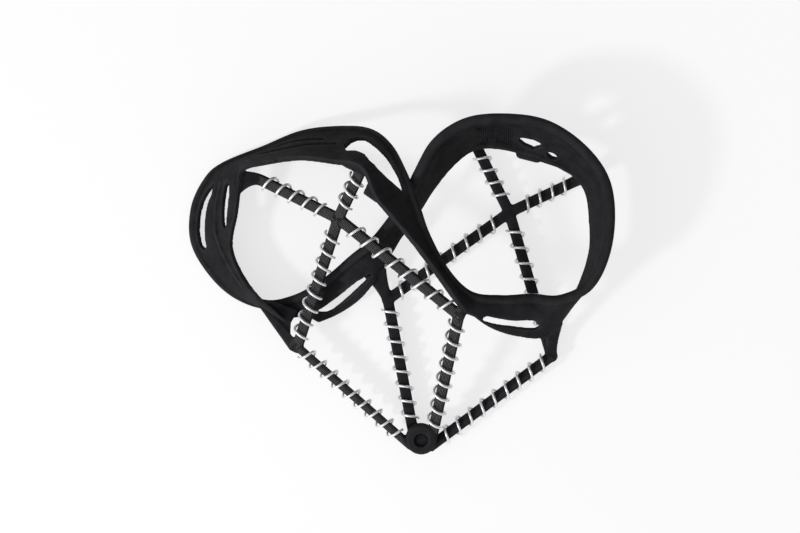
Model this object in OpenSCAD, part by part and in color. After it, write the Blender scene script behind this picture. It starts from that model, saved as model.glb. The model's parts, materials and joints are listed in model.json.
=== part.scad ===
// Slip-on ice cleat: a moulded rubber harness whose cords carry loose steel coils.
// It lies folded over at its hub, with the toe half sole up and the heel half sole down.

/* [Cords] */
// Width of a cord, over its round sides
cord_w = 5; // [4.6:0.1:5.4]
// Thickness of a cord, between its flat faces
cord_t = 3.6; // [3.2:0.1:4]

/* [Coils] */
// Thickness of the steel wire
wire_d = 1.2; // [1:0.1:1.3]
// Room between a coil and the cord inside it
coil_room = 0.3; // [0.2:0.1:0.4]
// Distance from one turn of a coil to the next
coil_pitch = 7; // [6:0.2:8]

/* [Hub] */
// Diameter of the hub's round disc
hub_d = 14; // [13.5:0.5:15]
// Thickness of the disc
hub_h = 5.4; // [5:0.2:6]
// Lean of the disc towards the fold
hub_lean = 15; // [10:1:18]
// Diameter of the round recess in the disc
recess_d = 6.6; // [5:0.2:7]
// Depth of the recess
recess_depth = 1.6; // [1:0.2:3]
// Diameter of the tongue folded under the disc
tongue_d = 13; // [12.4:0.2:13.4]
// Height of the tongue
tongue_h = 9; // [8.5:0.5:10]

/* [Rim] */
// Diameter of the round bead along the rim's free edge
bead_d = 4.6; // [4:0.2:5]
// Thickness of the rim's walls and straps
strap_t = 2.6; // [2.4:0.1:2.8]
// Width of the strap along the rim's sole edge
edge_w = 5.6; // [4.8:0.2:6]
// Width of the strip between two rows of slots
strip_w = 6; // [5:0.5:7]
// Width of the bar below an arch's slot
bar_w = 4.6; // [4.2:0.2:5]
// Height of the wall joined to the bead beside the slots
bead_wall = 4.2; // [3.4:0.2:4.6]

/* [Corners] */
// Diameter of the round corner where two cords meet a tab
corner_d = 6.8; // [6.4:0.2:7.2]
// Diameter of the round plate where two cords cross
cross_d = 8.4; // [8.2:0.1:9]
// Width of a far tab where it leaves the rim
far_tab_w = 9; // [8:0.5:9.5]
// Width of a heel corner's tab where it leaves the rim
heel_tab_w = 9.4; // [8.6:0.2:10]
// Width of the broad tab at the toe half's left corner
broad_tab_w = 12; // [11:0.5:13]
// Width of the short tab at the toe half's right corner
short_tab_w = 3.8; // [3.4:0.2:4]

/* [Hidden] */
$fn = 48;
RUBBER = "#1d1d20";
STEEL = "#c4c8cc";

// Seam left between neighbouring pieces of the moulding
seam = 0.1;
// Rings in each stretch of rim between two stations, and in the twisted stretch
rim_steps = 3;
twist_steps = 6;
// Rings in one turn of a coil, and sides of its wire
turn_rings = 8;
wire_sides = 6;

// Corners, crossings and cord ends, as they lie
hub_mid = [11, -68.5, 10];
toe_left = [-44.5, -27, 13];
toe_right = [27, -12, 40];
heel_left = [-4, -6, 5.6];
heel_right = [70, -31.5, 6];
toe_cross = [-25.5, 30, 32];
heel_cross = [51, 33.5, 4.9];
toe_far_left = [-59.5, 47, 22];
toe_far_right = [-16, 49, 44];
heel_far_left = [37.5, 60.5, 5.6];
heel_far_right = [78.5, 46.5, 5.6];

// Stations round the rim: a point on the bead, then one on the sole edge
RIM = [
    [[-10.5, 19.5, 25], [-8, 9, 15]],
    [[-20.5, 11.5, 20], [-16, -2.5, 11]],
    [[-32, 2, 12], [-28.5, -11, 6.5]],
    [[-46, -6, 7], [-44, -15.5, 9]],
    [[-61, -8, 3], [-57, -10, 14]],
    [[-77.5, 0, 2.5], [-68.5, 1, 14]],
    [[-90.5, 17.5, 2.5], [-76, 17, 14]],
    [[-91.5, 34.5, 2.5], [-73.5, 33, 17]],
    [[-85.5, 48, 2.5], [-71.5, 45, 19]],
    [[-77.5, 54.5, 4], [-69, 52.5, 21]],
    [[-60, 61.5, 5], [-58.5, 55.5, 24]],
    [[-42, 68.5, 7], [-42, 57.5, 30]],
    [[-23.5, 70, 12], [-26, 55.5, 37]],
    [[-11.5, 68, 20], [-18.5, 54.5, 42]],
    [[-3, 60.5, 28], [-12.5, 50.5, 46]],
    [[3, 48.5, 37], [-7.5, 40, 48]],
    [[8, 35, 42], [0, 31, 48]],
    [[12.5, 22, 43], [9, 20, 47]],
    [[21, 6.5, 42], [19, 6, 45]],
    [[31.5, -3.5, 39], [29, -6.5, 41.5]],
    [[45.5, -5.5, 35], [40.5, -16, 33]],
    [[58.5, -5, 33], [54.5, -20.5, 26]],
    [[71, -5.5, 34], [67, -20, 21]],
    [[83.5, 0.5, 36], [79.5, -5, 20]],
    [[90.5, 14.5, 38], [87, 14, 19]],
    [[92.5, 32, 40], [87.5, 30.5, 19]],
    [[89.5, 47.5, 41], [85, 44, 19]],
    [[79.5, 60.5, 42], [76.5, 53, 19]],
    [[65, 70, 42], [63, 58.5, 19]],
    [[48.5, 73, 41], [49, 63, 19]],
    [[31, 71.5, 40], [35, 63, 19]],
    [[17.5, 63, 39], [24.5, 56, 19]],
    [[9.5, 49.5, 36], [15.5, 45, 18]],
    [[4, 38, 33], [8.5, 34, 18]],
    [[-3, 28, 29], [0.5, 23, 17]]
];
BEAD = [for (s = RIM) s[0]];
EDGE = [for (s = RIM) s[1]];

// Where the rim's pieces meet, counted in stations
left_arch_at = 0.4;
toe_left_at = 2.7;
toe_at = 4.8;
toe_right_at = 15.6;
right_arch_at = 19.2;
heel_right_at = 22;
heel_side_at = 24.6;
heel_slot_at = 27.2;
heel_far_at = 28.9;
heel_left_at = 32;

// Stations where the tabs leave the rim
toe_left_corner_at = 3.7;
toe_right_corner_at = 18.7;
heel_right_corner_at = 22.5;
heel_left_corner_at = 35;
toe_left_tab_at = 8.6;
toe_right_tab_at = 13.8;
heel_right_tab_at = 26.5;
heel_left_tab_at = 29.9;

function unit(v) = v / norm(v);

// A point on the smooth closed curve through a list of points
function loop_point(list, t) =
    let (
        n = len(list),
        i = floor(t),
        f = t - i,
        a = list[(i - 1 + n) % n],
        b = list[i % n],
        c = list[(i + 1) % n],
        d = list[(i + 2) % n]
    )
    b + (c - a) * f / 2 + (2 * a - 5 * b + 4 * c - d) * f * f / 2 + (3 * b - a - 3 * c + d) * f * f * f / 2;

// Frame of the rim at a station: bead point, way to the sole edge, way through the wall, height
function rim_frame(t) =
    let (
        o = loop_point(BEAD, t),
        e = loop_point(EDGE, t),
        ahead = loop_point(BEAD, t + 0.05) - loop_point(BEAD, t - 0.05),
        u = unit(e - o)
    )
    [o, u, unit(cross(ahead, u)), norm(e - o)];

// Sections of the rim, with x from the bead to the sole edge and y through the wall
function strip_section(low, high, t) =
    let (c = t / 4)
    [
        [high, t / 2 - c], [high - c, t / 2], [low + c, t / 2], [low, t / 2 - c],
        [low, c - t / 2], [low + c, -t / 2], [high - c, -t / 2], [high, c - t / 2]
    ];
function keyhole_section(high, t) =
    let (r = bead_d / 2)
    concat(
        [[high, t / 2], [r, t / 2]],
        [for (k = [1:7]) r * [cos(45 * k), sin(45 * k)]],
        [[r, -t / 2], [high, -t / 2]]
    );

// Stations of the rings from one station to another
function rim_stops(from, to, steps) =
    let (n = ceil((to - from) * steps))
    [for (k = [0:n]) from + (to - from) * k / n];

function place_ring(f, section) = [for (p = section) f[0] + p[0] * f[1] + p[1] * f[2]];

// A closed solid through rings of points
module sweep(rings) {
    n = len(rings);
    m = len(rings[0]);
    sides = [
        for (i = [0:n - 2], j = [0:m - 1])
            let (a = i * m + j, b = i * m + (j + 1) % m)
            each [[a, a + m, b + m], [a, b + m, b]]
    ];
    first = [for (j = [0:m - 1]) j];
    last = [for (j = [m - 1:-1:0]) (n - 1) * m + j];
    polyhedron([for (r = rings) each r], concat(sides, [first, last]), convexity = 8);
}

// Runs of the rim: a bead with a wall, and a flat strip
module keyhole_run(from, to, share, more, steps = rim_steps) {
    sweep([
        for (t = rim_stops(from, to, steps))
            let (f = rim_frame(t))
            place_ring(f, keyhole_section(share * f[3] + more, strap_t))
    ]);
}

module strip_run(from, to, low_share, low_more, high_share, high_more) {
    sweep([
        for (t = rim_stops(from, to, rim_steps))
            let (f = rim_frame(t))
            place_ring(f, strip_section(low_share * f[3] + low_more, high_share * f[3] + high_more, strap_t))
    ]);
}

// A whole wall, from the bead to the sole edge
module wall_run(from, to, steps = rim_steps) { keyhole_run(from, to, 1, edge_w / 2, steps); }

// The strap along the sole edge
module edge_run(from, to) { strip_run(from, to, 1, -edge_w / 2, 1, edge_w / 2); }

// A panel that closes the slots between the bead and the sole edge
module panel_run(from, to) { strip_run(from, to, 0, bead_wall + seam, 1, -edge_w / 2 - seam); }

// Strip between the two rows of slots
module middle_run(from, to) { strip_run(from, to, 0.5, -strip_w / 2, 0.5, strip_w / 2); }

// Rim pieces of the toe half, with the stations where its three panels start and end
toe_panels = [[toe_at, 5.9], [8.4, 9.5], [12, 12.6]];
module toe_left_wall() { color(RUBBER) wall_run(toe_left_at, toe_at, twist_steps); }
module toe_bead() { color(RUBBER) keyhole_run(toe_at, toe_right_at, 0, bead_wall); }
module toe_edge_strap() { color(RUBBER) edge_run(toe_at, toe_right_at); }
module toe_left_strip() { color(RUBBER) middle_run(toe_panels[0][1], toe_panels[1][0]); }
module toe_far_strip() { color(RUBBER) middle_run(toe_panels[1][1], toe_panels[2][0]); }
module toe_near_panel() { color(RUBBER) panel_run(toe_panels[0][0], toe_panels[0][1]); }
module toe_left_panel() { color(RUBBER) panel_run(toe_panels[1][0], toe_panels[1][1]); }
module toe_right_panel() { color(RUBBER) panel_run(toe_panels[2][0], toe_panels[2][1]); }
module toe_right_wall() { color(RUBBER) wall_run(toe_right_at, right_arch_at); }

// Rim pieces of the arches
module arch_strap(from, to) { color(RUBBER) keyhole_run(from, to, 0.5, 0); }
module arch_bar(from, to) { color(RUBBER) strip_run(from, to, 1, -bar_w / 2, 1, bar_w / 2); }
module right_arch_strap() { arch_strap(right_arch_at, heel_right_at); }
module right_arch_bar() { arch_bar(right_arch_at, heel_right_at); }
module left_arch_strap() { arch_strap(left_arch_at, toe_left_at); }
module left_arch_bar() { arch_bar(left_arch_at, toe_left_at); }

// Rim pieces of the heel half
module heel_right_wall() { color(RUBBER) wall_run(heel_right_at, heel_side_at); }
module heel_side_wall() { color(RUBBER) wall_run(heel_side_at, heel_slot_at); }
module heel_bead() { color(RUBBER) keyhole_run(heel_slot_at, heel_far_at, 0, bead_wall); }
module heel_strip() { color(RUBBER) middle_run(heel_slot_at, heel_far_at); }
module heel_edge_strap() { color(RUBBER) edge_run(heel_slot_at, heel_far_at); }
module heel_far_wall() { color(RUBBER) wall_run(heel_far_at, heel_left_at); }
module heel_left_wall() { color(RUBBER) wall_run(heel_left_at, len(RIM) + left_arch_at); }

// Hub: the disc of the toe half, leaning over the folded tongue of the heel half
module hub_disc() {
    translate(hub_mid) rotate([hub_lean, 0, 0]) cylinder(d = hub_d, h = hub_h, center = true);
}
module hub_tongue() { translate([hub_mid[0], hub_mid[1], 0]) cylinder(d = tongue_d, h = tongue_h); }
module hub_mass() {
    hub_disc();
    hub_tongue();
}
module hub() {
    color(RUBBER) difference() {
        hub_mass();
        translate(hub_mid) rotate([hub_lean, 0, 0]) translate([0, 0, hub_h / 2 - recess_depth])
            cylinder(d = recess_d, h = recess_depth + hub_h);
    }
}

// Points inside the hub that the legs run to, with the toe half's legs over the heel half's
toe_left_root = hub_mid + [-4.5, -3.5, -1];
toe_right_root = hub_mid + [4.5, -1, -1];
heel_left_root = hub_mid + [-3, 0, -4.4];
heel_right_root = hub_mid + [3.5, -4.5, -4.5];

// Way out of the web's sole side at each crossing and corner
toe_up = unit(cross(toe_right - toe_far_left, toe_far_right - toe_left));
heel_up = unit(cross(heel_right - heel_far_left, heel_far_right - heel_left));
function corner_up(corner, cross_at) = unit(cross(hub_mid - corner, cross_at - corner));

// Ends that a cord may have
AT_TAB = 0;
AT_CORNER = 1;
AT_CROSS = 2;
AT_HUB = 3;
UNDER_TAB = 4;

// Cords: name, first end, last end, how each end is held, way out of the web
CORDS = [
    ["toe_left_leg", toe_left, toe_left_root, AT_CORNER, AT_HUB, toe_up],
    ["toe_right_leg", toe_right, toe_right_root, AT_CORNER, AT_HUB, toe_up],
    ["heel_left_leg", heel_left, heel_left_root, AT_CORNER, AT_HUB, heel_up],
    ["heel_right_leg", heel_right, heel_right_root, AT_CORNER, AT_HUB, heel_up],
    ["toe_left_near_arm", toe_left, toe_cross, AT_CORNER, AT_CROSS, toe_up],
    ["toe_right_near_arm", toe_right, toe_cross, AT_CORNER, AT_CROSS, toe_up],
    ["toe_left_far_arm", toe_far_left, toe_cross, AT_TAB, AT_CROSS, toe_up],
    ["toe_right_far_arm", toe_far_right, toe_cross, AT_TAB, AT_CROSS, toe_up],
    ["heel_left_near_arm", heel_left, heel_cross, AT_CORNER, AT_CROSS, heel_up],
    ["heel_right_near_arm", heel_right, heel_cross, UNDER_TAB, AT_CROSS, heel_up],
    ["heel_left_far_arm", heel_far_left, heel_cross, AT_TAB, AT_CROSS, heel_up],
    ["heel_right_far_arm", heel_far_right, heel_cross, AT_TAB, AT_CROSS, heel_up]
];
function cord_axis(c) = unit(c[2] - c[1]);
function cord_side(c) = unit(cross(c[5], cord_axis(c)));
function cord_face(c) = cross(cord_axis(c), cord_side(c));

// Sizes of the coils that follow from the cord inside them
coil_r = (cord_w / 2 + coil_room + wire_d / 2) / cos(180 / turn_rings);
coil_out = coil_r + wire_d / 2;

// Bare cord from a coil's end to the middle of what holds the cord
tab_gap = wire_d + coil_room;
leg_gap = corner_d / 2 + coil_room;
arm_gap = corner_d / 2 + coil_out / 2;
under_gap = arm_gap + corner_d;
cross_gap = coil_out / tan(34) + wire_d;

// The four legs spread from the hub: the distance at which their coils clear each other and the disc
LEGS = [for (c = CORDS) if (c[4] == AT_HUB) c];
function leg_room(s) = min([
    for (a = [0:2], b = [a + 1:3])
        norm(LEGS[a][2] - s * cord_axis(LEGS[a]) - LEGS[b][2] + s * cord_axis(LEGS[b]))
]);
legs_gap = [for (s = [0:0.2:2 * hub_d]) if (leg_room(s) > 2 * coil_out + coil_room) s + wire_d][0];
function hub_gap(c) = max(legs_gap, hub_d / 2 + tab_gap - (hub_mid - c[2]) * cord_axis(c));

// Bare cord at each end of a coil
function low_gap(c) =
    c[3] == AT_TAB ? tab_gap
    : c[3] == UNDER_TAB ? under_gap
    : c[4] == AT_HUB ? leg_gap : arm_gap;
function high_gap(c) = c[4] == AT_HUB ? hub_gap(c) : cross_gap;

// The wire's middle line: a left-handed helix with a short straight end at each side
function coil_rings(c) =
    floor((norm(c[2] - c[1]) - low_gap(c) - high_gap(c)) * turn_rings / coil_pitch);
function coil_start(c) =
    (norm(c[2] - c[1]) + low_gap(c) - high_gap(c) - coil_rings(c) * coil_pitch / turn_rings) / 2;
function coil_way(c, k) =
    let (a = 360 * k / turn_rings)
    cos(a) * cord_side(c) - sin(a) * cord_face(c);
function coil_point(c, k) =
    c[1] + (coil_start(c) + k * coil_pitch / turn_rings) * cord_axis(c) + coil_r * coil_way(c, k);
function coil_ahead(c, k) =
    let (a = 360 * k / turn_rings)
    unit(
        2 * PI * coil_r * (-sin(a) * cord_side(c) - cos(a) * cord_face(c)) + coil_pitch * cord_axis(c)
    );
function wire_ring(at, out, ahead) =
    let (over = cross(ahead, out))
    [
        for (j = [0:wire_sides - 1])
            at + wire_d / 2 * (cos(360 * j / wire_sides) * out + sin(360 * j / wire_sides) * over)
    ];
function coil_line(c) =
    let (n = coil_rings(c))
    concat(
        [coil_point(c, 0) - wire_d * coil_ahead(c, 0)],
        [for (k = [0:n]) coil_point(c, k)],
        [coil_point(c, n) + wire_d * coil_ahead(c, n)]
    );

// Least gap of a wire to itself, between points at least half a turn apart
function coil_self_gap(c) =
    let (line = coil_line(c), apart = turn_rings / 2)
    min([
        for (i = [0:len(line) - 1 - apart], j = [i + apart:len(line) - 1]) norm(line[i] - line[j])
    ]) - wire_d;

// A double-D cord, cut to fit what holds it at each end
module stand(at, up, side) {
    x = unit(cross(cross(up, side), up));
    y = cross(up, x);
    multmatrix([
        [x[0], y[0], up[0], at[0]],
        [x[1], y[1], up[1], at[1]],
        [x[2], y[2], up[2], at[2]]
    ]) children();
}
module cord_bar(c, length) {
    stand(c[1], cord_axis(c), cord_side(c)) linear_extrude(length) intersection() {
        circle(d = cord_w);
        square([cord_w, cord_t], center = true);
    }
}
module end_cut(at, up, side, d) { stand(at, up, side) cylinder(d = d, h = 4 * cord_w, center = true); }
module cord(c) {
    color(RUBBER) difference() {
        cord_bar(c, norm(c[2] - c[1]));
        if (c[3] != AT_TAB) end_cut(c[1], corner_way(c[1]), cord_axis(c), corner_d);
        if (c[4] == AT_CROSS) end_cut(c[2], c[5], cord_axis(c), cross_d);
        if (c[4] == AT_HUB) hub_mass();
    }
}
module coil(c) {
    n = coil_rings(c);
    first = coil_ahead(c, 0);
    last = coil_ahead(c, n);
    color(STEEL) sweep(concat(
        [wire_ring(coil_point(c, 0) - wire_d * first, coil_way(c, 0), first)],
        [for (k = [0:n]) wire_ring(coil_point(c, k), coil_way(c, k), coil_ahead(c, k))],
        [wire_ring(coil_point(c, n) + wire_d * last, coil_way(c, n), last)]
    ));
}

// Round plates where the cords of a half cross
module cross_plate(at, up, side) {
    color(RUBBER) stand(at, up, side) cylinder(d = cross_d, h = cord_t, center = true);
}
module toe_cross_plate() { cross_plate(toe_cross, toe_up, toe_left - toe_cross); }
module heel_cross_plate() { cross_plate(heel_cross, heel_up, heel_left - heel_cross); }

// Way out of the plane of the two cords at a corner
function corner_way(at) =
    at == toe_left || at == toe_right ? corner_up(at, toe_cross) : corner_up(at, heel_cross);

// A tab that tapers from just inside the sole edge to a cord's end, over a few rings
tab_rings = 4;
tab_bury = 0.5;
function edge_ahead(t) = unit(loop_point(EDGE, t + 0.05) - loop_point(EDGE, t - 0.05));
function square_to(v, way) = unit(v - (v * way) * way);
function tab_start(t, way) =
    let (f = rim_frame(t))
    min(edge_w / abs(way * f[1]), strap_t / abs(way * f[2])) / 2 - tab_bury;
function tab_ring(t, at, tip_way, tip_side, root_w, f) =
    let (
        root_way = unit(at - loop_point(EDGE, t)),
        root = loop_point(EDGE, t) + tab_start(t, root_way) * root_way,
        reach = norm(at - root),
        mid = at - tip_way * reach * 0.4,
        way = unit((1 - f) * root_way + f * tip_way),
        root_side = edge_ahead(t) * (edge_ahead(t) * tip_side < 0 ? -1 : 1),
        side = square_to((1 - f) * root_side + f * tip_side, way),
        face = cross(way, side),
        w = root_w + (cord_w - root_w) * (1 - (1 - f) * (1 - f)),
        thick = strap_t + (cord_t - strap_t) * f,
        middle = (1 - f) * (1 - f) * root + 2 * f * (1 - f) * mid + f * f * at
    )
    [for (p = strip_section(-w / 2, w / 2, thick)) middle + p[0] * side + p[1] * face];
module tab(t, at, tip_way, tip_side, root_w) {
    sweep([for (k = [0:tab_rings]) tab_ring(t, at, tip_way, tip_side, root_w, k / tab_rings)]);
}
module far_tab(t, c, root_w) {
    color(RUBBER) difference() {
        tab(t, c[1], cord_axis(c), cord_side(c), root_w);
        children();
    }
}
module corner(t, at, arm, root_w) {
    up = corner_way(at);
    way = unit(at - loop_point(EDGE, t));
    flat_way = square_to(way, up);
    color(RUBBER) difference() {
        union() {
            stand(at, up, flat_way) cylinder(d = corner_d, h = cord_t, center = true);
            difference() {
                tab(t, at, flat_way, cross(up, flat_way), root_w);
                cord_bar(arm, 2 * corner_d);
                stand(at, cord_axis(arm), up) translate([0, 0, low_gap(arm) - 2 * wire_d])
                    cylinder(r = coil_out + 2 * coil_room, h = 2 * corner_d);
            }
        }
        children();
    }
}
module toe_left_corner() { corner(toe_left_corner_at, toe_left, CORDS[4], broad_tab_w) toe_left_wall(); }
module toe_right_corner() {
    corner(toe_right_corner_at, toe_right, CORDS[5], short_tab_w) {
        toe_right_wall();
        right_arch_bar();
    }
}
module heel_left_corner() {
    corner(heel_left_corner_at, heel_left, CORDS[8], heel_tab_w) {
        heel_left_wall();
        left_arch_bar();
    }
}
module heel_right_corner() {
    corner(heel_right_corner_at, heel_right, CORDS[9], heel_tab_w) heel_right_wall();
}
module toe_left_tab() { far_tab(toe_left_tab_at, CORDS[6], far_tab_w) toe_edge_strap(); }
module toe_right_tab() { far_tab(toe_right_tab_at, CORDS[7], far_tab_w) toe_edge_strap(); }
module heel_left_tab() { far_tab(heel_left_tab_at, CORDS[10], far_tab_w) heel_far_wall(); }
module heel_right_tab() { far_tab(heel_right_tab_at, CORDS[11], far_tab_w) heel_side_wall(); }

echo(least_coil_gap = min([for (c = CORDS) coil_self_gap(c)]));
echo(turns_in_all = [for (c = CORDS) coil_rings(c) / turn_rings] * [for (c = CORDS) 1]);

CORD_NODES = [for (c = CORDS) str(c[0], "_cord")];
COIL_NODES = [for (c = CORDS) str(c[0], "_coil")];

toe_left_wall();
toe_bead();
toe_edge_strap();
toe_left_strip();
toe_far_strip();
toe_near_panel();
toe_left_panel();
toe_right_panel();
toe_right_wall();
right_arch_strap();
right_arch_bar();
heel_right_wall();
heel_side_wall();
heel_bead();
heel_strip();
heel_edge_strap();
heel_far_wall();
heel_left_wall();
left_arch_strap();
left_arch_bar();
hub();
toe_cross_plate();
heel_cross_plate();
toe_left_corner();
toe_right_corner();
heel_left_corner();
heel_right_corner();
toe_left_tab();
toe_right_tab();
heel_left_tab();
heel_right_tab();
for (k = [0:len(CORDS) - 1]) {
    cord(CORDS[k]);
    coil(CORDS[k]);
}
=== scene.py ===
import json
import math

import bpy
import numpy as np
from mathutils import Matrix, Vector


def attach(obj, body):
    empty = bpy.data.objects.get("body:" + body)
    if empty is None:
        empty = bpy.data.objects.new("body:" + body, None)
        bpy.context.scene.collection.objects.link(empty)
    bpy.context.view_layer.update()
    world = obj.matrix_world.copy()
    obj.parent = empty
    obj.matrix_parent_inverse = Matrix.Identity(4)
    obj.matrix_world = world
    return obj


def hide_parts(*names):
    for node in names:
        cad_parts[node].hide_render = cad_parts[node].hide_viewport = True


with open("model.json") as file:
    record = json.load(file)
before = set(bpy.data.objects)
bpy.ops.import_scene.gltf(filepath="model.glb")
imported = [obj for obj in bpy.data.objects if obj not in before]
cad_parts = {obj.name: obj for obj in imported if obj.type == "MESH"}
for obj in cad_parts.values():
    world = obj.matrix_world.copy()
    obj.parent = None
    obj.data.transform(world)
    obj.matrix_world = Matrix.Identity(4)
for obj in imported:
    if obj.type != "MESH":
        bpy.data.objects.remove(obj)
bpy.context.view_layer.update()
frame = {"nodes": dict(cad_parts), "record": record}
MM = 0.001


# Rim of the harness. One black rubber moulding: a wall that goes once round the shoe, with a round
# bead along its free edge, slots at the two ends and a long slot in each arch.
# The folded cleat twists it, so each station gives a point on the bead and one on the sole edge.
RIM = MM * np.array([
    [[-10.5, 19.5, 25], [-8, 9, 15]],
    [[-20.5, 11.5, 20], [-16, -2.5, 11]],
    [[-32, 2, 12], [-28.5, -11, 6.5]],
    [[-46, -6, 7], [-44, -15.5, 9]],
    [[-61, -8, 3], [-57, -10, 14]],
    [[-77.5, 0, 2.5], [-68.5, 1, 14]],
    [[-90.5, 17.5, 2.5], [-76, 17, 14]],
    [[-91.5, 34.5, 2.5], [-73.5, 33, 17]],
    [[-85.5, 48, 2.5], [-71.5, 45, 19]],
    [[-77.5, 54.5, 4], [-69, 52.5, 21]],
    [[-60, 61.5, 5], [-58.5, 55.5, 24]],
    [[-42, 68.5, 7], [-42, 57.5, 30]],
    [[-23.5, 70, 12], [-26, 55.5, 37]],
    [[-11.5, 68, 20], [-18.5, 54.5, 42]],
    [[-3, 60.5, 28], [-12.5, 50.5, 46]],
    [[3, 48.5, 37], [-7.5, 40, 48]],
    [[8, 35, 42], [0, 31, 48]],
    [[12.5, 22, 43], [9, 20, 47]],
    [[21, 6.5, 42], [19, 6, 45]],
    [[31.5, -3.5, 39], [29, -6.5, 41.5]],
    [[45.5, -5.5, 35], [40.5, -16, 33]],
    [[58.5, -5, 33], [54.5, -20.5, 26]],
    [[71, -5.5, 34], [67, -20, 21]],
    [[83.5, 0.5, 36], [79.5, -5, 20]],
    [[90.5, 14.5, 38], [87, 14, 19]],
    [[92.5, 32, 40], [87.5, 30.5, 19]],
    [[89.5, 47.5, 41], [85, 44, 19]],
    [[79.5, 60.5, 42], [76.5, 53, 19]],
    [[65, 70, 42], [63, 58.5, 19]],
    [[48.5, 73, 41], [49, 63, 19]],
    [[31, 71.5, 40], [35, 63, 19]],
    [[17.5, 63, 39], [24.5, 56, 19]],
    [[9.5, 49.5, 36], [15.5, 45, 18]],
    [[4, 38, 33], [8.5, 34, 18]],
    [[-3, 28, 29], [0.5, 23, 17]],
])
BEAD_R = 2.3 * MM
WALL_HALF = 1.3 * MM
EDGE_HALF = 3 * MM
STEPS_PER_STATION = 64
ROWS_ACROSS = 96
BEAD_SIDES = 14
STATION_STEP = 0.05


def unit(v):
    """The same way with length 1."""
    return v / np.linalg.norm(v, axis=-1, keepdims=True)


def on_loop(points, t):
    """Points on the smooth closed curve through a list of points, at stations t."""
    n = len(points)
    i = np.floor(t).astype(int)
    f = (t - i)[:, None]
    a, b, c, d = (points[(i + k) % n] for k in (-1, 0, 1, 2))
    return (b + (c - a) * f / 2 + (2 * a - 5 * b + 4 * c - d) * f ** 2 / 2
            + (3 * b - a - 3 * c + d) * f ** 3 / 2)


def rim_frame(t):
    """At stations t: bead point, way to the sole edge, way through the wall, height."""
    bead = on_loop(RIM[:, 0], t)
    edge = on_loop(RIM[:, 1], t)
    ahead = on_loop(RIM[:, 0], t + STATION_STEP) - on_loop(RIM[:, 0], t - STATION_STEP)
    down = unit(edge - bead)
    return bead, down, unit(np.cross(ahead, down)), np.linalg.norm(edge - bead, axis=1)


# Below each arch's slot the wall ends in a bar: first and last station, half the bar's width.
ARCHES = [(0.4, 2.7, 2.3 * MM), (19.2, 22, 1.3 * MM)]
ARCH_BLEND = 0.3
rim_at = np.arange(len(RIM) * STEPS_PER_STATION) / STEPS_PER_STATION
bead, down, through, height = rim_frame(rim_at)
border = height + EDGE_HALF
for first, last, bar_half in ARCHES:
    in_arch = np.clip(np.minimum(rim_at - first, last - rim_at) / ARCH_BLEND, 0, 1)
    border += (bar_half - EDGE_HALF) * in_arch
across = border[:, None] * np.linspace(0, 1, ROWS_ACROSS + 1)
middle = bead[:, None] + across[..., None] * down[:, None]
wall_face = WALL_HALF * through[:, None]

# Slots: rows of a station, then where the slot starts and ends across the wall in millimetres.
# The last one is a notch in the sole edge, beside the coil at the toe half's left corner.
LEFT_ARCH_SLOT = [(0.35, 13.5, 13.5), (0.45, 12.5, 14.5), (1, 10.8, 14.3), (2, 9.8, 13.7),
                  (2.2, 9.8, 12.8), (2.5, 9.3, 9.3)]
RIGHT_ARCH_SLOT = [(19.7, 9, 9), (19.8, 8, 10.5), (20.2, 9, 12), (20.7, 10.5, 13.5), (21.1, 10.5, 15),
                   (21.4, 11, 15.5), (21.5, 12, 15.3), (21.6, 14, 14)]
TOE_BEAD_SLOT = [(5.95, 5, 5), (6.05, 3, 7), (6.3, 3, 7.5), (7.2, 3.5, 8), (7.5, 4, 8.5),
                 (7.75, 5, 7.5), (7.95, 6.5, 6.5)]
TOE_SOLE_SLOT = [(6.5, 20, 20), (6.65, 18.5, 21), (7.2, 17.5, 21), (7.55, 16.5, 20.5),
                 (7.9, 15, 18.5), (8.1, 15.5, 15.5)]
FAR_BEAD_SLOT = [(10.2, 6, 6), (10.5, 5, 7.5), (11, 7.5, 10), (11.45, 9, 12), (11.6, 10.5, 10.5)]
FAR_SOLE_SLOT = [(9.7, 8, 8), (10.1, 9, 11), (10.7, 13, 16), (11.3, 14, 17), (11.85, 14, 16.5),
                 (11.95, 15.5, 15.5)]
DROP_SLOT = [(12.15, 17, 17), (12.35, 10.5, 21.5), (12.55, 7.5, 21), (12.9, 6, 19.5), (13.3, 6.5, 18.5),
             (13.8, 6, 19), (14.3, 4.5, 15.5), (14.9, 3, 9), (15.5, 3.5, 3.5)]
HEEL_FIRST_SLOT = [(27.4, 20.5, 20.5), (27.5, 18, 23), (27.6, 17.5, 23.5), (27.7, 18, 23),
                   (27.8, 20.5, 20.5)]
HEEL_LAST_SLOT = [(27.95, 16, 16), (28.05, 14, 18.5), (28.2, 13.5, 21.5), (28.45, 13.5, 20.5),
                  (28.6, 14, 18.5), (28.7, 16, 16)]
CORNER_NOTCH = [(2.3, 30, 30), (2.35, 17, 30), (2.6, 11.5, 30), (3, 8, 30), (3.3, 8, 30), (3.5, 14, 30),
                (3.6, 30, 30)]
SLOTS = [LEFT_ARCH_SLOT, RIGHT_ARCH_SLOT, TOE_BEAD_SLOT, TOE_SOLE_SLOT, FAR_BEAD_SLOT, FAR_SOLE_SLOT,
         DROP_SLOT, HEEL_FIRST_SLOT, HEEL_LAST_SLOT, CORNER_NOTCH]
cell_at = rim_at + 0.5 / STEPS_PER_STATION
cell_across = (across[:, 1:] + across[:, :-1]) / 2
keep = np.ones((len(rim_at), ROWS_ACROSS), bool)
for slot in SLOTS:
    stations, starts, ends = np.array(slot).T
    start = MM * np.interp(cell_at, stations, starts)[:, None]
    end = MM * np.interp(cell_at, stations, ends)[:, None]
    keep &= ~((cell_across > start) & (cell_across < end))


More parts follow.
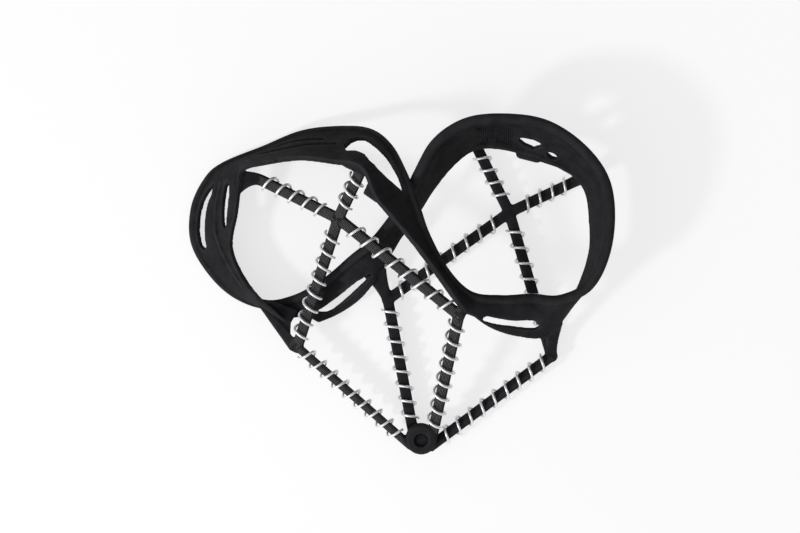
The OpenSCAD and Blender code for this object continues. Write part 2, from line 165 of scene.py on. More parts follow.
def plate(top, bottom, keep):
    """Faces of a closed-loop plate of two layers, with walls round its holes and edges."""
    n, m = top.shape[:2]
    index = np.arange(n * m).reshape(n, m)
    ahead = np.roll(index, -1, 0)
    corners = [index[:, :-1], ahead[:, :-1], ahead[:, 1:], index[:, 1:]]
    under = n * m
    faces = [np.stack([c[keep] for c in corners], 1)]
    faces.append(np.stack([c[keep] + under for c in corners[::-1]], 1))
    sides = [
        (np.roll(keep, 1, 0), 3, 0),
        (np.roll(keep, -1, 0), 1, 2),
        (np.pad(keep, ((0, 0), (1, 0)))[:, :-1], 0, 1),
        (np.pad(keep, ((0, 0), (0, 1)))[:, 1:], 2, 3),
    ]
    for neighbour, a, b in sides:
        bare = keep & ~neighbour
        p, q = corners[a][bare], corners[b][bare]
        faces.append(np.stack([q, p, p + under, q + under], 1))
    points = np.concatenate([top.reshape(-1, 3), bottom.reshape(-1, 3)])
    return points, np.concatenate(faces).tolist()


def tube(rings, closed=False):
    """A solid through rings of points, with flat ends unless it is a closed loop."""
    n, m = rings.shape[:2]
    index = np.arange(n * m).reshape(n, m)
    ahead = np.roll(index, -1, 0)
    a, b = (index, ahead) if closed else (index[:-1], ahead[:-1])
    faces = np.stack([a, b, np.roll(b, -1, 1), np.roll(a, -1, 1)], -1).reshape(-1, 4).tolist()
    if not closed:
        faces += [index[0].tolist(), index[-1][::-1].tolist()]
    return rings.reshape(-1, 3), faces


turn = 2 * np.pi * np.arange(BEAD_SIDES) / BEAD_SIDES
bead_ring = np.cos(turn)[:, None] * down[:, None] + np.sin(turn)[:, None] * through[:, None]
moulding = [
    plate(middle + wall_face, middle - wall_face, keep),
    tube(bead[:, None] + BEAD_R * bead_ring, closed=True),
]


def on_wall(t, out):
    """A point on the wall: a station, and the distance from the bead in millimetres."""
    bead, down, through, height = rim_frame(np.array([float(t)]))
    return bead[0] + out * MM * down[0]


def edge_point(t):
    """The point on the sole edge at a station."""
    return on_loop(RIM[:, 1], np.array([float(t)]))[0]


# A way that no rod runs along, from which its section starts, and the small flat at its poles.
BEAN_ASIDE = [0.3, 0.2, 1]
BEAN_POLE = 0.05


def bean(first, last, r, rings=9, sides=16):
    """A rod with round ends between two points."""
    along = unit(last - first)
    x = unit(np.cross(along, BEAN_ASIDE))
    y = np.cross(along, x)
    a = 2 * np.pi * np.arange(sides) / sides
    spoke = np.cos(a)[:, None] * x + np.sin(a)[:, None] * y
    lift = np.linspace(BEAN_POLE, np.pi / 2, rings)
    caps = [first - r * np.cos(f) * along + r * np.sin(f) * spoke for f in lift]
    caps += [last + r * np.cos(f) * along + r * np.sin(f) * spoke for f in lift[::-1]]
    return tube(np.array(caps))


# A fold in the toe wall, a rolled edge and a thumb pad on the heel's sole edge, a nub on the toe's.
# Each is a row of places on the wall: a station, and the distance from the bead in millimetres.
FOLD = [(8, 11.4), (7.2, 13.4), (6.7, 14.2), (6.4, 14.6), (5.9, 15.6), (5.2, 14.4), (4.5, 12.6)]
FOLD_R = 0.8 * MM
FOLD_MIDDLE = 6.4
HEEL_ROLL = [(29.5, 23.5), (29, 25), (28.5, 25.5), (28, 25), (27.4, 25.5), (26.9, 25)]
HEEL_ROLL_R = 1.5 * MM
HEEL_ROLL_LIFT = 0.8 * MM
PAD = [(28.55, 28.4), (28.02, 27.4)]
PAD_R = 2 * MM
PAD_LIFT = 1 * MM
NUB = [(10.28, 23.5), (10.28, 24.6)]
NUB_R = 0.8 * MM
HEEL_IN = np.array([0, -0.8, 0.6])
wall_up = rim_frame(np.array([FOLD_MIDDLE]))[2][0]
wall_up = wall_up * np.sign(wall_up[2])


def ridge(places, r, lift):
    """Rods through a row of places, lifted off the middle of the wall."""
    for here, ahead in zip(places, places[1:]):
        moulding.append(bean(on_wall(*here) + lift, on_wall(*ahead) + lift, r))


ridge(FOLD, FOLD_R, WALL_HALF * wall_up)
ridge(HEEL_ROLL, HEEL_ROLL_R, HEEL_ROLL_LIFT * HEEL_IN)
ridge(PAD, PAD_R, PAD_LIFT * HEEL_IN)
ridge(NUB, NUB_R, np.zeros(3))


# Web of the harness, moulded with the rim. Flat-sided cords run from a hub to four corners and cross
# in the middle of each half. Tabs carry the corners and the far ends of the cords from the rim.
CORD_W = 5 * MM
CORD_T = 3.6 * MM
CORNER_D = 5.6 * MM
CROSS_D = 5.6 * MM
HUB_MID = MM * np.array([11, -68.5, 10])
TOE_LEFT = MM * np.array([-44.5, -27, 13])
TOE_RIGHT = MM * np.array([27, -12, 40])
HEEL_LEFT = MM * np.array([-4, -6, 5.6])
HEEL_RIGHT = MM * np.array([70, -31.5, 6])
TOE_CROSS = MM * np.array([-25.5, 30, 32])
HEEL_CROSS = MM * np.array([51, 33.5, 4.9])
TOE_FAR_LEFT = MM * np.array([-59.5, 47, 22])
TOE_FAR_RIGHT = MM * np.array([-16, 49, 44])
HEEL_FAR_LEFT = MM * np.array([37.5, 60.5, 5.6])
HEEL_FAR_RIGHT = MM * np.array([78.5, 46.5, 5.6])
TOE_LEFT_ROOT = HUB_MID + MM * np.array([-4.5, -3.5, -1])
TOE_RIGHT_ROOT = HUB_MID + MM * np.array([4.5, -1, -1])
HEEL_LEFT_ROOT = HUB_MID + MM * np.array([-3, 0, -4.4])
HEEL_RIGHT_ROOT = HUB_MID + MM * np.array([3.5, -4.5, -4.5])
toe_up = unit(np.cross(TOE_RIGHT - TOE_FAR_LEFT, TOE_FAR_RIGHT - TOE_LEFT))
heel_up = unit(np.cross(HEEL_RIGHT - HEEL_FAR_LEFT, HEEL_FAR_RIGHT - HEEL_LEFT))
CORDS = {
    "toe_left_leg": (TOE_LEFT, TOE_LEFT_ROOT, toe_up),
    "toe_right_leg": (TOE_RIGHT, TOE_RIGHT_ROOT, toe_up),
    "heel_left_leg": (HEEL_LEFT, HEEL_LEFT_ROOT, heel_up),
    "heel_right_leg": (HEEL_RIGHT, HEEL_RIGHT_ROOT, heel_up),
    "toe_left_near_arm": (TOE_LEFT, TOE_CROSS, toe_up),
    "toe_right_near_arm": (TOE_RIGHT, TOE_CROSS, toe_up),
    "toe_left_far_arm": (TOE_FAR_LEFT, TOE_CROSS, toe_up),
    "toe_right_far_arm": (TOE_FAR_RIGHT, TOE_CROSS, toe_up),
    "heel_left_near_arm": (HEEL_LEFT, HEEL_CROSS, heel_up),
    "heel_right_near_arm": (HEEL_RIGHT, HEEL_CROSS, heel_up),
    "heel_left_far_arm": (HEEL_FAR_LEFT, HEEL_CROSS, heel_up),
    "heel_right_far_arm": (HEEL_FAR_RIGHT, HEEL_CROSS, heel_up),
}


def cord_ways(first, last, up):
    """Along the cord, across it, and out of its sole face."""
    along = unit(last - first)
    side = unit(np.cross(up, along))
    return along, side, np.cross(along, side)


# How full a cord's section is towards its sides and its faces. At 1 it would be an ellipse.
SIDE_POWER = 0.7
FACE_POWER = 0.5


def flat_ring(wide, thick, points=20):
    """A flat section with round sides, as points across and through."""
    a = 2 * np.pi * np.arange(points) / points
    x, y = np.cos(a), np.sin(a)
    side = np.sign(x) * np.abs(x) ** SIDE_POWER
    face = np.sign(y) * np.abs(y) ** FACE_POWER
    return np.stack([wide / 2 * side, thick / 2 * face], 1)


# The fold turns two of the legs about their length, so that they show a narrower side: degrees.
TURNED_LEGS = {"toe_left_leg": 75, "heel_right_leg": 45}
for name, (first, last, up) in CORDS.items():
    along, side, face = cord_ways(first, last, up)
    twist = math.radians(TURNED_LEGS.get(name, 0))
    wide_way = math.cos(twist) * side + math.sin(twist) * face
    thick_way = np.cross(along, wide_way)
    section = flat_ring(CORD_W, CORD_T)
    ring = section[:, :1] * wide_way + section[:, 1:] * thick_way
    moulding.append(tube(np.stack([first + ring, last + ring])))


# A way that no disc faces, from which its points start.
DISC_ASIDE = [0.3, 1, 0.2]


def disc(middle, up, profile, sides=40):
    """A turned solid: profile gives pairs of radius and height along up."""
    x = unit(np.cross(up, DISC_ASIDE))
    y = np.cross(up, x)
    a = 2 * np.pi * np.arange(sides) / sides
    spoke = np.cos(a)[:, None] * x + np.sin(a)[:, None] * y
    return tube(np.stack([middle + r * spoke + h * up for r, h in profile]))


def plain_disc(middle, up, d, thick):
    """A disc with soft edges."""
    r, h = d / 2, thick / 2
    soft = thick / 5
    return disc(middle, up, [(r - soft, -h), (r, soft - h), (r, h - soft), (r - soft, h)])


moulding.append(plain_disc(TOE_CROSS, toe_up, CROSS_D, CORD_T))
moulding.append(plain_disc(HEEL_CROSS, heel_up, CROSS_D, CORD_T))

# Hub: the toe half's disc with a round recess, leaning over the folded tongue of the heel half.
HUB_R = 7 * MM
HUB_HALF = 2.7 * MM
HUB_SOFT = 0.8 * MM
HUB_LEAN = math.radians(15)
RECESS_R = 3.3 * MM
RECESS_SOFT = 0.3 * MM
RECESS_DEPTH = 1.6 * MM
RECESS_MIDDLE_R = 0.01 * MM
TONGUE_D = 13 * MM
TONGUE_H = 9 * MM
hub_way = np.array([0, -math.sin(HUB_LEAN), math.cos(HUB_LEAN)])
moulding.append(disc(HUB_MID, hub_way, [
    (HUB_R - HUB_SOFT, -HUB_HALF),
    (HUB_R, HUB_SOFT - HUB_HALF),
    (HUB_R, HUB_HALF - HUB_SOFT),
    (HUB_R - HUB_SOFT, HUB_HALF),
    (RECESS_R + RECESS_SOFT, HUB_HALF),
    (RECESS_R, HUB_HALF - RECESS_SOFT),
    (RECESS_R - RECESS_SOFT, HUB_HALF - RECESS_DEPTH),
    (RECESS_MIDDLE_R, HUB_HALF - RECESS_DEPTH),
]))
tongue_mid = np.array([HUB_MID[0], HUB_MID[1], TONGUE_H / 2])
moulding.append(plain_disc(tongue_mid, np.array([0.0, 0, 1]), TONGUE_D, TONGUE_H))

# A tab's rings along its length, and how far before its tip it starts to bend, as a share of that length.
TAB_RINGS = 14
TAB_BEND = 0.4


def tab(at, tip, tip_way, tip_side, root_w):
    """A tab that leaves the rim's sole edge at a station, narrows and bends into a cord's end."""
    root = edge_point(at)
    edge_way = unit(edge_point(at + STATION_STEP) - edge_point(at - STATION_STEP))
    if edge_way @ tip_side < 0:
        edge_way = -edge_way
    root_way = unit(tip - root)
    bend = tip - tip_way * np.linalg.norm(tip - root) * TAB_BEND
    rings = []
    for f in np.linspace(0, 1, TAB_RINGS):
        way = unit((1 - f) * root_way + f * tip_way)
        side = (1 - f) * edge_way + f * tip_side
        side = unit(side - (side @ way) * way)
        wide = root_w + (CORD_W - root_w) * (1 - (1 - f) ** 2)
        thick = 2 * WALL_HALF + (CORD_T - 2 * WALL_HALF) * f
        middle = (1 - f) ** 2 * root + 2 * f * (1 - f) * bend + f ** 2 * tip
        section = flat_ring(wide, thick)
        rings.append(middle + section[:, :1] * side + section[:, 1:] * np.cross(way, side))
    moulding.append(tube(np.array(rings)))


# Three of the corners and the far tabs: the station where each leaves the rim, and its width there.
CORNERS = [
    (19.05, TOE_RIGHT, TOE_CROSS, 4 * MM),
    (0.2, HEEL_LEFT, HEEL_CROSS, 11 * MM),
    (22.25, HEEL_RIGHT, HEEL_CROSS, 9 * MM),
]
FAR_TABS = [
    (8.1, "toe_left_far_arm", 11.5 * MM),
    (13.6, "toe_right_far_arm", 11 * MM),
    (29.9, "heel_left_far_arm", 9 * MM),
    (26.5, "heel_right_far_arm", 9 * MM),
]
for at, corner, crossing, root_w in CORNERS:
    up = unit(np.cross(HUB_MID - corner, crossing - corner))
    way = corner - edge_point(at)
    way = unit(way - (way @ up) * up)
    tab(at, corner, way, np.cross(up, way), root_w)
    moulding.append(plain_disc(corner, up, CORNER_D, CORD_T))
for at, name, root_w in FAR_TABS:
    along, side, face = cord_ways(*CORDS[name])
    tab(at, CORDS[name][0], along, side, root_w)


def web(corners):
    """A flat web of the wall's thickness between corner points."""
    corners = np.array(corners)
    ahead = np.roll(corners, -1, 0)
    face = WALL_HALF * unit(np.cross(corners, ahead).sum(0))
    return tube(np.stack([corners - face, corners + face]))


# Webs that spread the toe half's right far tab along the sole edge, clear of the coil between them.
LEFT_WEB_DIP = MM * np.array([-22, 52, 39.5])
RIGHT_WEB_TOP = MM * np.array([-11, 47, 45.5])
RIGHT_WEB_TIP = MM * np.array([-14, 40.6, 44])
RIGHT_WEB_SIDE = MM * np.array([-8.2, 36.4, 46])
moulding.append(web([edge_point(12.1), edge_point(13.4), TOE_FAR_RIGHT, LEFT_WEB_DIP]))
moulding.append(web([edge_point(14.1), edge_point(15.3), RIGHT_WEB_SIDE, RIGHT_WEB_TIP,
                     RIGHT_WEB_TOP]))

# The fourth corner, the toe half's left one. A panel with a rolled outer edge carries it from the wall.
PANEL_ROLL_R = 1.2 * MM
PANEL_TOP = MM * np.array([-62, -6.5, 14])
PANEL_TIP = MM * np.array([-47, -27.8, 13])
PANEL = MM * np.array([[-44.5, -25.5, 13], [-47.8, -21.5, 12.3], [-47.6, -16.5, 12], [-44.5, -11, 9.5],
                       [-54, -7.5, 9]])
toe_left_up = unit(np.cross(HUB_MID - TOE_LEFT, TOE_CROSS - TOE_LEFT))
moulding.append(plain_disc(TOE_LEFT, toe_left_up, CORNER_D, CORD_T))
moulding.append(web([PANEL_TOP, PANEL_TIP, *PANEL]))
moulding.append(bean(PANEL_TOP, PANEL_TIP, PANEL_ROLL_R))


# The moulding as it leaves the mould: rim and web joined, with the soft fillets that rubber has.
VOXEL = 0.42 * MM
FILLET_PASSES = 8
FILLET_PULL = 0.5
MOST_TRIANGLES = 190000
points, polygons, first_point = [], [], 0
for co, faces in moulding:
    points.append(co)
    polygons += [[first_point + k for k in face] for face in faces]
    first_point += len(co)
raw_mesh = bpy.data.meshes.new("harness_raw")
raw_mesh.from_pydata(np.concatenate(points).tolist(), [], polygons)
raw = bpy.data.objects.new("harness_raw", raw_mesh)
bpy.context.scene.collection.objects.link(raw)
joined = raw.modifiers.new("joined", "REMESH")
joined.mode = "VOXEL"
joined.voxel_size = VOXEL
fillets = raw.modifiers.new("fillets", "SMOOTH")
fillets.factor = FILLET_PULL
fillets.iterations = FILLET_PASSES
raw.modifiers.new("triangles", "TRIANGULATE")


def finished_mesh(obj):
    """The plain mesh that an object's modifiers give."""
    bpy.context.view_layer.update()
    seen = obj.evaluated_get(bpy.context.evaluated_depsgraph_get())
    return bpy.data.meshes.new_from_object(seen)


fine = finished_mesh(raw)
raw.modifiers.clear()
raw.data = fine
thinned = raw.modifiers.new("thinned", "DECIMATE")
thinned.ratio = min(1, MOST_TRIANGLES / len(fine.polygons))
harness_mesh = finished_mesh(raw)
bpy.data.objects.remove(raw)
harness_mesh.name = "harness"
harness_mesh.polygons.foreach_set("use_smooth", [True] * len(harness_mesh.polygons))
harness = bpy.data.objects.new("harness", harness_mesh)
bpy.context.scene.collection.objects.link(harness)

# Where the knurl lies: along and across each cord of the toe half, fading at its ends and sides.
KNURL_FADE = 2 * MM
KNURL_REACH = 4 * MM
KNURL_FROM = 1 * MM
KNURL_RISE = 0.5 * MM
co = np.empty(3 * len(harness_mesh.vertices))
harness_mesh.vertices.foreach_get("co", co)
co = co.reshape(-1, 3)
lie = np.zeros_like(co)
nearest = np.full(len(co), KNURL_REACH)
for name, (first, last, up) in CORDS.items():
    if not name.startswith("toe"):
        continue
    along, side, face = cord_ways(first, last, up)
    s, a, z = ((co - first) @ way for way in (along, side, face))
    off = np.hypot(a, z)
    from_end = np.minimum(s, np.linalg.norm(last - first) - s)
    on = (off < nearest) & (from_end > -KNURL_FADE)
    nearest[on] = off[on]
    fade = np.clip(from_end / KNURL_FADE + 1, 0, 1)
    fade *= np.clip((np.abs(z) - KNURL_FROM) / KNURL_RISE, 0, 1)
    fade *= np.clip((np.linalg.norm(co - HUB_MID, axis=1) - HUB_R) / KNURL_FADE, 0, 1)
    lie[on] = np.stack([s, a, fade], 1)[on]
knurl_lie = harness_mesh.attributes.new("knurl_lie", "FLOAT_VECTOR", "POINT")
knurl_lie.data.foreach_set("vector", lie.ravel())

# Where fine ribs cross the rubber: a stretch of the heel's far wall and the toe half's left far tab.
RIB_FADE = 1.5 * MM
RIB_REACH = 4 * MM
WALL_RIB_HALF = 8 * MM
WALL_RIB_PITCH = 0.9 * MM
TAB_RIB_HALF = 6 * MM
TAB_RIB_PITCH = 0.75 * MM
wall_aside = unit(on_wall(29.4, 20) - on_wall(29.4, 6))
tab_aside = unit(on_wall(8.6, 20) - on_wall(7.6, 20))
wall_ribs = (on_wall(28.8, 13), on_wall(29.9, 13), wall_aside, WALL_RIB_HALF, WALL_RIB_PITCH)
tab_ribs = (on_wall(8.1, 20), TOE_FAR_LEFT, tab_aside, TAB_RIB_HALF, TAB_RIB_PITCH)
ribs = np.zeros_like(co)
for first, last, aside, half, pitch in (wall_ribs, tab_ribs):
    along = unit(last - first)
    aside = unit(aside - (aside @ along) * along)
    s, a, z = ((co - first) @ way for way in (along, aside, np.cross(along, aside)))
    inside = np.minimum(np.minimum(s, np.linalg.norm(last - first) - s), half - np.abs(a))
    fade = np.clip(inside / RIB_FADE, 0, 1) * (np.abs(z) < RIB_REACH)
    on = fade > 0
    ribs[on] = np.stack([s / pitch, fade, 0 * s], 1)[on]
rib_lie = harness_mesh.attributes.new("rib_lie", "FLOAT_VECTOR", "POINT")
rib_lie.data.foreach_set("vector", ribs.ravel())


def new_material(name):
    """A material, its node tree and its shader."""
    material = bpy.data.materials.new(name)
    material.use_nodes = True
    tree = material.node_tree
    return material, tree, tree.nodes["Principled BSDF"]


def add(tree, kind, **values):
    """A node with its properties and unlinked inputs set by name."""
    made = tree.nodes.new(kind)
    for key, value in values.items():
        if key in made.bl_rna.properties:
            setattr(made, key, value)
        else:
            made.inputs[key.replace("_", " ")].default_value = value
    return made


def maths(tree, operation, *inputs):
    """The result of a sum on numbers and sockets."""
    made = tree.nodes.new("ShaderNodeMath")
    made.operation = operation
    for socket, value in zip(made.inputs, inputs):
        if isinstance(value, (int, float)):
            socket.default_value = value
        else:
            tree.links.new(value, socket)
    return made.outputs[0]


def blended(tree, factor, low, high):
    """A colour that goes from low, a colour or a socket, to high with a factor."""
    made = add(tree, "ShaderNodeMix", data_type="RGBA")
    sockets = {s.identifier: s for s in (*made.inputs, *made.outputs)}
    sockets["B_Color"].default_value = high
    if isinstance(low, tuple):
        sockets["A_Color"].default_value = low
    else:
        tree.links.new(low, sockets["A_Color"])
    tree.links.new(factor, sockets["Factor_Float"])
    return sockets["Result_Color"]


# Speckle: a fine noise between two values, for both rubber and wire.
SPECKLE_DETAIL = 4.0
SPECKLE_ROUGH = 0.6
SPECKLE_LOW = 0.3
SPECKLE_HIGH = 0.7
speckle = bpy.data.node_groups.new("speckle", "ShaderNodeTree")
speckle.interface.new_socket("Scale", in_out="INPUT", socket_type="NodeSocketFloat")
speckle.interface.new_socket("Low", in_out="INPUT", socket_type="NodeSocketFloat")
speckle.interface.new_socket("High", in_out="INPUT", socket_type="NodeSocketFloat")
speckle.interface.new_socket("Value", in_out="OUTPUT", socket_type="NodeSocketFloat")
speckle_in = speckle.nodes.new("NodeGroupInput")
speckle_out = speckle.nodes.new("NodeGroupOutput")
speckle_place = speckle.nodes.new("ShaderNodeTexCoord")
speckle_noise = add(speckle, "ShaderNodeTexNoise", Detail=SPECKLE_DETAIL, Roughness=SPECKLE_ROUGH)
speckle_range = add(speckle, "ShaderNodeMapRange", From_Min=SPECKLE_LOW, From_Max=SPECKLE_HIGH)
speckle.links.new(speckle_place.outputs["Object"], speckle_noise.inputs["Vector"])
speckle.links.new(speckle_in.outputs["Scale"], speckle_noise.inputs["Scale"])
speckle.links.new(speckle_noise.outputs["Fac"], speckle_range.inputs["Value"])
speckle.links.new(speckle_in.outputs["Low"], speckle_range.inputs["To Min"])
speckle.links.new(speckle_in.outputs["High"], speckle_range.inputs["To Max"])
speckle.links.new(speckle_range.outputs["Result"], speckle_out.inputs["Value"])


def speckled(tree, scale, low, high):
    """Speckle of one scale between two values, as a socket."""
    made = tree.nodes.new("ShaderNodeGroup")
    made.node_tree = speckle
    made.inputs["Scale"].default_value = scale
    made.inputs["Low"].default_value = low
    made.inputs["High"].default_value = high
    return made.outputs["Value"]


# Rubber: matt black with a random tone, painted shade darker in creases and a painted highlight paler on
# edges, with worn knurl tips and fine ribs.
# The dark end is the painted shade in creases and the pale end is the painted highlight on convex edges.
RUBBER_CREASE_SHADE = (0.001, 0.001, 0.0012, 1)
RUBBER_EDGE_HIGHLIGHT = (0.032, 0.032, 0.035, 1)
PAINTED_LIGHT_SHARE = 0.7
CREASE_SHADE_POINT = 0.47
EDGE_HIGHLIGHT_POINT = 0.53
RUBBER_ROUGH = (0.52, 0.68)
RUBBER_SHINE = 0.015
SHEEN_SCALE = 420
TONE_SCALE = 160
GRAIN_SCALE = 2600
GRAIN_STRENGTH = 0.35
GRAIN_DEPTH = 0.12 * MM
PATTERN_STRENGTH = 0.8
PATTERN_DEPTH = 0.35 * MM
KNURL_WORN = (0.22, 0.22, 0.225, 1)
KNURL_PITCH = 1.3 * MM
TIP_LOW = 0.2
TIP_HIGH = 0.8
rubber, tree, shader = new_material("moulded_rubber")
tree.links.new(speckled(tree, SHEEN_SCALE, *RUBBER_ROUGH), shader.inputs["Roughness"])
shader.inputs["Specular IOR Level"].default_value = RUBBER_SHINE
lie_read = add(tree, "ShaderNodeAttribute", attribute_name="knurl_lie")
lie_parts = tree.nodes.new("ShaderNodeSeparateXYZ")
tree.links.new(lie_read.outputs["Vector"], lie_parts.inputs[0])
turns_per_metre = 2 * math.pi / KNURL_PITCH
one_way = maths(tree, "ADD", lie_parts.outputs[0], lie_parts.outputs[1])
other_way = maths(tree, "SUBTRACT", lie_parts.outputs[0], lie_parts.outputs[1])
one_wave = maths(tree, "SINE", maths(tree, "MULTIPLY", one_way, turns_per_metre))
other_wave = maths(tree, "SINE", maths(tree, "MULTIPLY", other_way, turns_per_metre))
diamonds = maths(tree, "MULTIPLY", one_wave, other_wave)
knurl = maths(tree, "MULTIPLY", diamonds, lie_parts.outputs[2])
rib_read = add(tree, "ShaderNodeAttribute", attribute_name="rib_lie")
rib_parts = tree.nodes.new("ShaderNodeSeparateXYZ")
tree.links.new(rib_read.outputs["Vector"], rib_parts.inputs[0])
rib_wave = maths(tree, "SINE", maths(tree, "MULTIPLY", rib_parts.outputs[0], 2 * math.pi))
rib = maths(tree, "MULTIPLY", rib_wave, rib_parts.outputs[1])
# Painted light: pointiness darkens creases as painted shade and pales convex edges as a painted
# highlight, added to a random tone.
edge_read = tree.nodes.new("ShaderNodeNewGeometry")
edge = add(tree, "ShaderNodeMapRange", From_Min=CREASE_SHADE_POINT, From_Max=EDGE_HIGHLIGHT_POINT)
tree.links.new(edge_read.outputs["Pointiness"], edge.inputs["Value"])
tone_and_painted_light = maths(tree, "ADD", speckled(tree, TONE_SCALE, 0, 1 - PAINTED_LIGHT_SHARE),
              maths(tree, "MULTIPLY", edge.outputs["Result"], PAINTED_LIGHT_SHARE))
plain = blended(tree, tone_and_painted_light, RUBBER_CREASE_SHADE, RUBBER_EDGE_HIGHLIGHT)
tips = add(tree, "ShaderNodeMapRange", From_Min=TIP_LOW, From_Max=TIP_HIGH)
tree.links.new(knurl, tips.inputs["Value"])
worn = blended(tree, tips.outputs["Result"], plain, KNURL_WORN)
tree.links.new(worn, shader.inputs["Base Color"])
grain_bump = add(tree, "ShaderNodeBump", Strength=GRAIN_STRENGTH, Distance=GRAIN_DEPTH)
tree.links.new(speckled(tree, GRAIN_SCALE, 0, 1), grain_bump.inputs["Height"])
pattern_bump = add(tree, "ShaderNodeBump", Strength=PATTERN_STRENGTH, Distance=PATTERN_DEPTH)
tree.links.new(maths(tree, "ADD", knurl, rib), pattern_bump.inputs["Height"])
tree.links.new(grain_bump.outputs["Normal"], pattern_bump.inputs["Normal"])
tree.links.new(pattern_bump.outputs["Normal"], shader.inputs["Normal"])
harness_mesh.materials.clear()
harness_mesh.materials.append(rubber)
rubber_nodes = frame["record"]["behaviour"]["bodies"]["harness"]
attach(harness, "harness")
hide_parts(*rubber_nodes)


# Coils. Each is one length of bright zinc-plated steel wire, wound left-handed and left loose on
# its cord, so that it can turn. The tree winds one coil between two points on a cord's middle line.
WIRE_D = 1.2 * MM
COIL_R = 3.6 * MM
COIL_PITCH = 7 * MM
RINGS_PER_TURN = 40
WIRE_SIDES = 12
winding = bpy.data.node_groups.new("wound_coil", "GeometryNodeTree")
winding.interface.new_socket("Geometry", in_out="OUTPUT", socket_type="NodeSocketGeometry")
INPUTS = {"Turns": "Float", "Length": "Float", "Coil radius": "Float", "Wire radius": "Float",
          "Start": "Vector", "Lean": "Rotation", "Finish": "Material"}
socket_of = {}
for label, kind in INPUTS.items():
    made = winding.interface.new_socket(label, in_out="INPUT", socket_type="NodeSocket" + kind)
    socket_of[label] = made.identifier
winding_in = winding.nodes.new("NodeGroupInput")
winding_out = winding.nodes.new("NodeGroupOutput")
spiral = winding.nodes.new("GeometryNodeCurveSpiral")
spiral.inputs["Resolution"].default_value = RINGS_PER_TURN
wire_round = winding.nodes.new("GeometryNodeCurvePrimitiveCircle")
wire_round.inputs["Resolution"].default_value = WIRE_SIDES
wire_tube = winding.nodes.new("GeometryNodeCurveToMesh")
wire_tube.inputs["Fill Caps"].default_value = True
placed = winding.nodes.new("GeometryNodeTransform")
smooth = winding.nodes.new("GeometryNodeSetShadeSmooth")
realized = winding.nodes.new("GeometryNodeRealizeInstances")
finish = winding.nodes.new("GeometryNodeSetMaterial")
fed = [
    ("Turns", spiral, "Rotations"),
    ("Coil radius", spiral, "Start Radius"),
    ("Coil radius", spiral, "End Radius"),
    ("Length", spiral, "Height"),
    ("Wire radius", wire_round, "Radius"),
    ("Start", placed, "Translation"),
    ("Lean", placed, "Rotation"),
    ("Finish", finish, "Material"),
]
for source, target, socket in fed:
    winding.links.new(winding_in.outputs[source], target.inputs[socket])
winding.links.new(spiral.outputs["Curve"], wire_tube.inputs["Curve"])
winding.links.new(wire_round.outputs["Curve"], wire_tube.inputs["Profile Curve"])
winding.links.new(wire_tube.outputs["Mesh"], placed.inputs["Geometry"])
winding.links.new(placed.outputs["Geometry"], smooth.inputs["Geometry"])
winding.links.new(smooth.outputs["Geometry"], realized.inputs["Geometry"])
winding.links.new(realized.outputs["Geometry"], finish.inputs["Geometry"])
winding.links.new(finish.outputs["Geometry"], winding_out.inputs["Geometry"])

ZINC_DARK = (0.70, 0.71, 0.73, 1)
ZINC_PALE = (0.92, 0.93, 0.94, 1)
ZINC_METAL = 0.7
ZINC_ROUGH = (0.32, 0.46)
ZINC_TONE_SCALE = 700
ZINC_SHEEN_SCALE = 1500
zinc, tree, shader = new_material("zinc_wire")
shader.inputs["Metallic"].default_value = ZINC_METAL
zinc_tone = blended(tree, speckled(tree, ZINC_TONE_SCALE, 0, 1), ZINC_DARK, ZINC_PALE)
tree.links.new(zinc_tone, shader.inputs["Base Color"])
tree.links.new(speckled(tree, ZINC_SHEEN_SCALE, *ZINC_ROUGH), shader.inputs["Roughness"])

for name, (first, last, up) in CORDS.items():
    along, side, face = cord_ways(first, last, up)
    solid = frame["nodes"][name + "_coil"].data
    place = np.array([v.co for v in solid.vertices]) - first
    ends = place @ along
    low = ends.min() + WIRE_D / 2
    length = ends.max() - WIRE_D / 2 - low
    shell = bpy.data.objects.new(name + "_wire", bpy.data.meshes.new(name + "_wire"))
    bpy.context.scene.collection.objects.link(shell)
    wind = shell.modifiers.new("wind", "NODES")
    wind.node_group = winding
    turned = Matrix(np.stack([-side, -face, along], 1).tolist()).to_euler()
    turns = round(length / COIL_PITCH - 0.5) + 0.5
    values = {"Turns": turns, "Length": length, "Coil radius": COIL_R, "Wire radius": WIRE_D / 2,
              "Start": (first + low * along).tolist(), "Lean": turned, "Finish": zinc}
    for label, value in values.items():
        wind[socket_of[label]] = value
    shell.data = finished_mesh(shell)
    shell.modifiers.clear()
    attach(shell, name + "_coil")
    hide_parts(name + "_coil")


# Floor: a plain white table top that shows white to the camera and keeps the cleat's shadow.
FLOOR_HALF = 3.0
FLOOR_COLOUR = (0.97, 0.97, 0.97, 1)
FLOOR_ROUGH = 0.8
BLANK_SHARE = 0.7
floor_mesh = bpy.data.meshes.new("floor")
floor_mesh.from_pydata([(-FLOOR_HALF, -FLOOR_HALF, 0), (FLOOR_HALF, -FLOOR_HALF, 0),
                        (FLOOR_HALF, FLOOR_HALF, 0), (-FLOOR_HALF, FLOOR_HALF, 0)], [], [(0, 1, 2, 3)])
floor = bpy.data.objects.new("floor", floor_mesh)
bpy.context.scene.collection.objects.link(floor)
white, tree, shader = new_material("white_table")
shader.inputs["Base Color"].default_value = FLOOR_COLOUR
shader.inputs["Roughness"].default_value = FLOOR_ROUGH
shader.inputs["Specular IOR Level"].default_value = 0
ray = tree.nodes.new("ShaderNodeLightPath")
mirrored = maths(tree, "MAXIMUM", ray.outputs["Is Glossy Ray"], ray.outputs["Is Transmission Ray"])
looked_at = maths(tree, "MAXIMUM", ray.outputs["Is Camera Ray"], mirrored)
blank = add(tree, "ShaderNodeEmission", Color=(1, 1, 1, 1), Strength=1.0)
table_top = tree.nodes.new("ShaderNodeMixShader")
tree.links.new(maths(tree, "MULTIPLY", looked_at, BLANK_SHARE), table_top.inputs["Fac"])
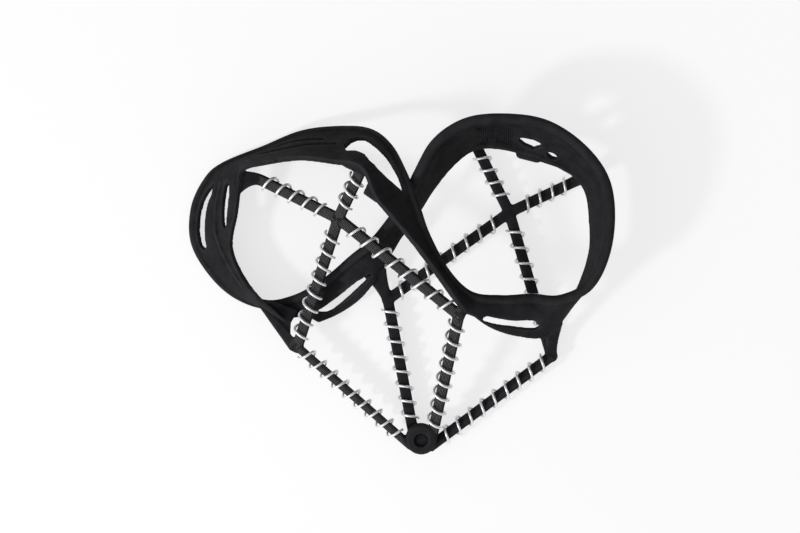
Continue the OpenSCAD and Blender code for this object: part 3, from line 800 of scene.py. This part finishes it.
tree.links.new(shader.outputs["BSDF"], table_top.inputs[1])
tree.links.new(blank.outputs["Emission"], table_top.inputs[2])
tree.links.new(table_top.outputs["Shader"], tree.nodes["Material Output"].inputs["Surface"])
floor_mesh.materials.append(white)

# Light: a small soft lamp low on the left, in a white room that is brighter on that side.
KEY_ENERGY = 8.5
KEY_D = 0.16
KEY_WAY = (-0.69, -0.39, 0.62)
KEY_AWAY = 1.3
ROOM_WAY = (-0.7, -0.7, 0)
BRIGHT_SIDE = 1.15
DIM_SIDE = 0.15
key = bpy.data.lights.new("key", "AREA")
key.shape = "DISK"
key.size = KEY_D
key.energy = KEY_ENERGY
key_obj = bpy.data.objects.new("key", key)
key_way = Vector(KEY_WAY).normalized()
key_obj.location = key_way * KEY_AWAY
key_obj.rotation_euler = key_way.to_track_quat("Z", "Y").to_euler()
bpy.context.scene.collection.objects.link(key_obj)
world = bpy.data.worlds.new("white_room")
world.use_nodes = True
tree = world.node_tree
looking = tree.nodes.new("ShaderNodeTexCoord")
leftward = add(tree, "ShaderNodeVectorMath", operation="DOT_PRODUCT")
leftward.inputs[1].default_value = ROOM_WAY
room = add(tree, "ShaderNodeMapRange", From_Min=-1.0, To_Min=DIM_SIDE, To_Max=BRIGHT_SIDE)
tree.links.new(looking.outputs["Generated"], leftward.inputs[0])
tree.links.new(leftward.outputs["Value"], room.inputs["Value"])
tree.links.new(room.outputs["Result"], tree.nodes["Background"].inputs["Strength"])
tree.nodes["Background"].inputs["Color"].default_value = (1, 1, 1, 1)
bpy.context.scene.world = world

# Camera: straight above the folded cleat.
CAMERA_AT = (0.0015, 0.009, 0.81)
CAMERA_LENS = 80
CAMERA_SENSOR = 36
camera = bpy.data.cameras.new("camera")
camera.lens = CAMERA_LENS
camera.sensor_width = CAMERA_SENSOR
camera_obj = bpy.data.objects.new("camera", camera)
camera_obj.location = CAMERA_AT
bpy.context.scene.collection.objects.link(camera_obj)
bpy.context.scene.camera = camera_obj
bpy.context.scene.view_settings.view_transform = "Standard"
